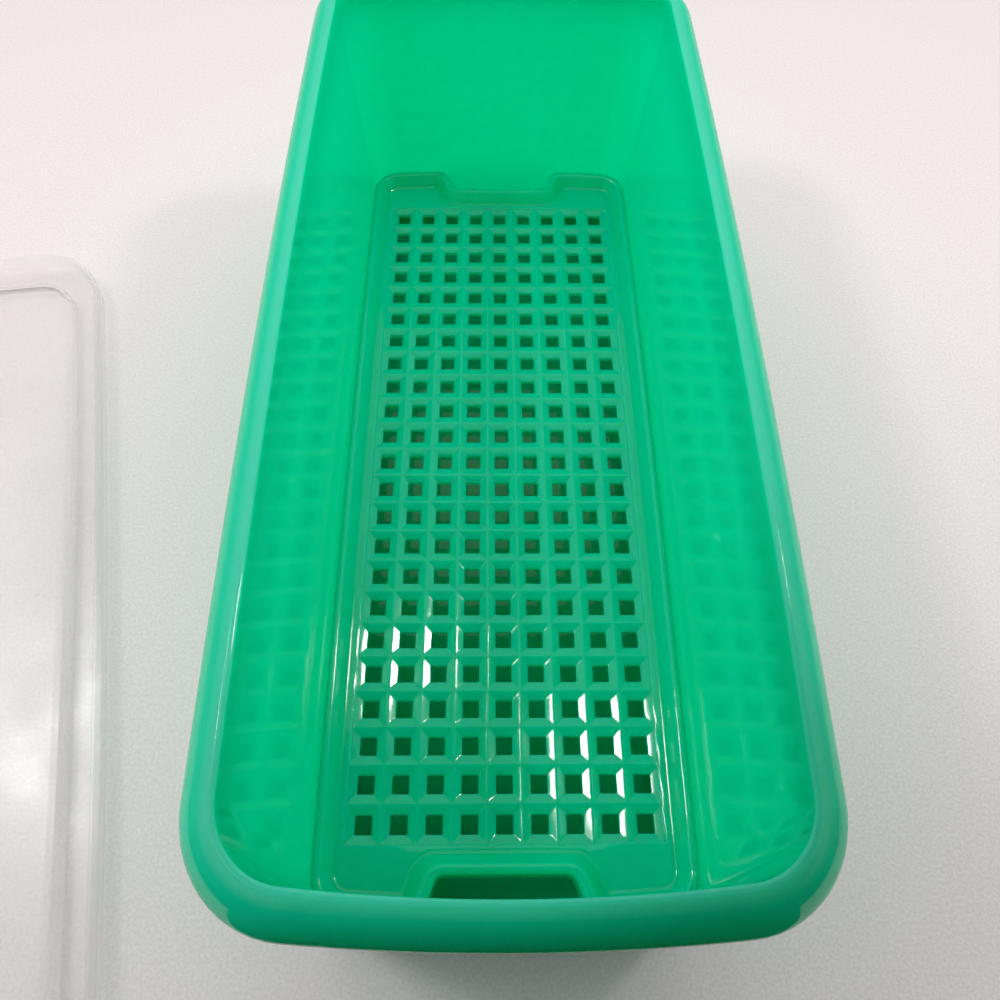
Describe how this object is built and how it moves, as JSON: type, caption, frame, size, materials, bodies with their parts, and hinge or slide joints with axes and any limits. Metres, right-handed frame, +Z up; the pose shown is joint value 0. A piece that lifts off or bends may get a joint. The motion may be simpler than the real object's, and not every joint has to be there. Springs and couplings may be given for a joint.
{
  "type": "vegetable crisper container",
  "caption": "Deep tapered food container with a rolled rim, a lift-out drain grid with finger notches, and a lid lying upside down beside it.",
  "frame": {"origin": "middle of the container's flat underside, on the surface it stands on", "axes": "+Z up out of the container's mouth, +Y along its length away from the pictured end, +X to the right"},
  "size_m": [0.3659, 0.3651, 0.117],
  "materials": {
    "green_polyethylene": "translucent, glossy",
    "grid_polyethylene": "glossy",
    "sheer_polyethylene": "sheer, lightly frosted"
  },
  "bodies": {
    "container": {"container": "green_polyethylene"},
    "drain_grid": {"drain_grid": "grid_polyethylene"},
    "lid": {"lid": "sheer_polyethylene"}
  },
  "joints": [
    {"name": "grid_lift", "type": "slide", "parent": "container", "child": "drain_grid", "axis": [0, 0, 1], "range_m": [0, 0.13]},
    {"name": "lid_lift", "type": "slide", "parent": "container", "child": "lid", "axis": [0, 0, 1], "range_m": [0, 0.15]}
  ]
}
